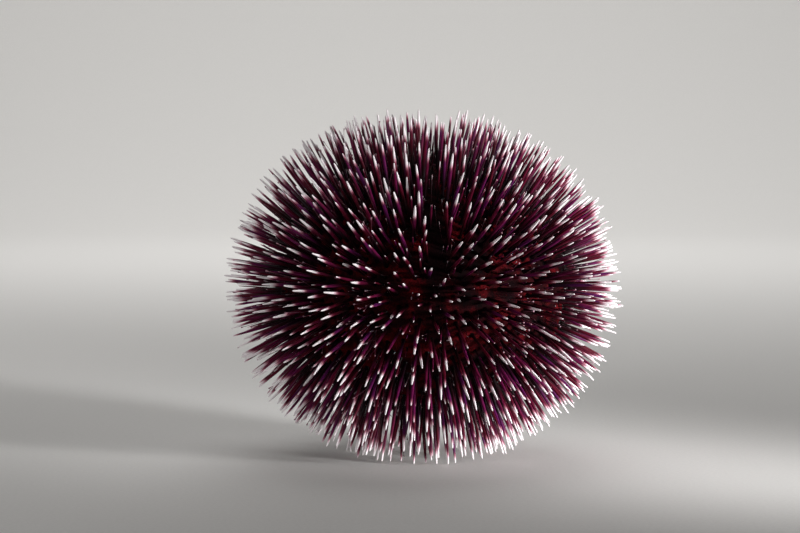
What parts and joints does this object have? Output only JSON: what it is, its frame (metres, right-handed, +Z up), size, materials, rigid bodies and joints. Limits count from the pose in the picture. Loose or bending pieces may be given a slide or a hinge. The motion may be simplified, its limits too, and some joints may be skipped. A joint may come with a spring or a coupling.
{
  "type": "violet sea urchin",
  "caption": "Still, life-size model of a living violet sea urchin: a low round test thick with blunt, white-tipped spines, its mouth below and its apical disc on top.",
  "frame": {"origin": "on the floor, straight below the apical disc, on the animal's own axis", "axes": "+Z up along the animal's axis, from mouth to apical disc; the camera of the picture looks from -Y, and the middle of interambulacrum_1 faces it, turned a few degrees towards +X"},
  "size_m": [0.1403, 0.1406, 0.1225],
  "materials": {
    "test_and_spines": "smooth and faintly wet",
    "apical_plates": "satin",
    "mouth_membrane": "soft and wet",
    "tooth_enamel": "glossy"
  },
  "bodies": {
    "root": {"ambulacrum_1": "test_and_spines", "ambulacrum_2": "test_and_spines", "ambulacrum_3": "test_and_spines", "ambulacrum_4": "test_and_spines", "ambulacrum_5": "test_and_spines", "interambulacrum_1": "test_and_spines", "interambulacrum_2": "test_and_spines", "interambulacrum_3": "test_and_spines", "interambulacrum_4": "test_and_spines", "interambulacrum_5": "test_and_spines", "apical_disc": "apical_plates", "peristome": "mouth_membrane", "tooth_1": "tooth_enamel", "tooth_2": "tooth_enamel", "tooth_3": "tooth_enamel", "tooth_4": "tooth_enamel", "tooth_5": "tooth_enamel"}
  },
  "joints": []
}
